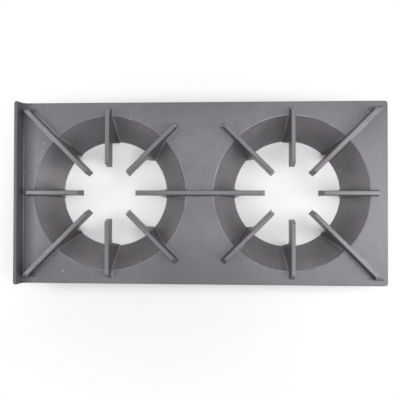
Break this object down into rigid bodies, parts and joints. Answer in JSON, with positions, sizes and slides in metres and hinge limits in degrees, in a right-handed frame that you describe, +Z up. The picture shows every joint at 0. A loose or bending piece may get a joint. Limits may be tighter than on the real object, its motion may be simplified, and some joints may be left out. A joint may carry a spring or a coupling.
{
  "type": "hob pan support",
  "caption": "Cast-iron hob pan support: a rectangular plate with conical burner wells, radial bars that carry the pans over open burner holes, and a low upstand along a short end.",
  "frame": {"origin": "under the middle of the plate, on the level of the bowls' bottom rims", "axes": "+X along the length, away from the upstand; +Z up towards the pans; +Y across the width"},
  "size_m": [0.608, 0.3, 0.058],
  "materials": {
    "iron": "satin grey enamel"
  },
  "bodies": {
    "root": {"pan_support": "iron"}
  },
  "joints": []
}
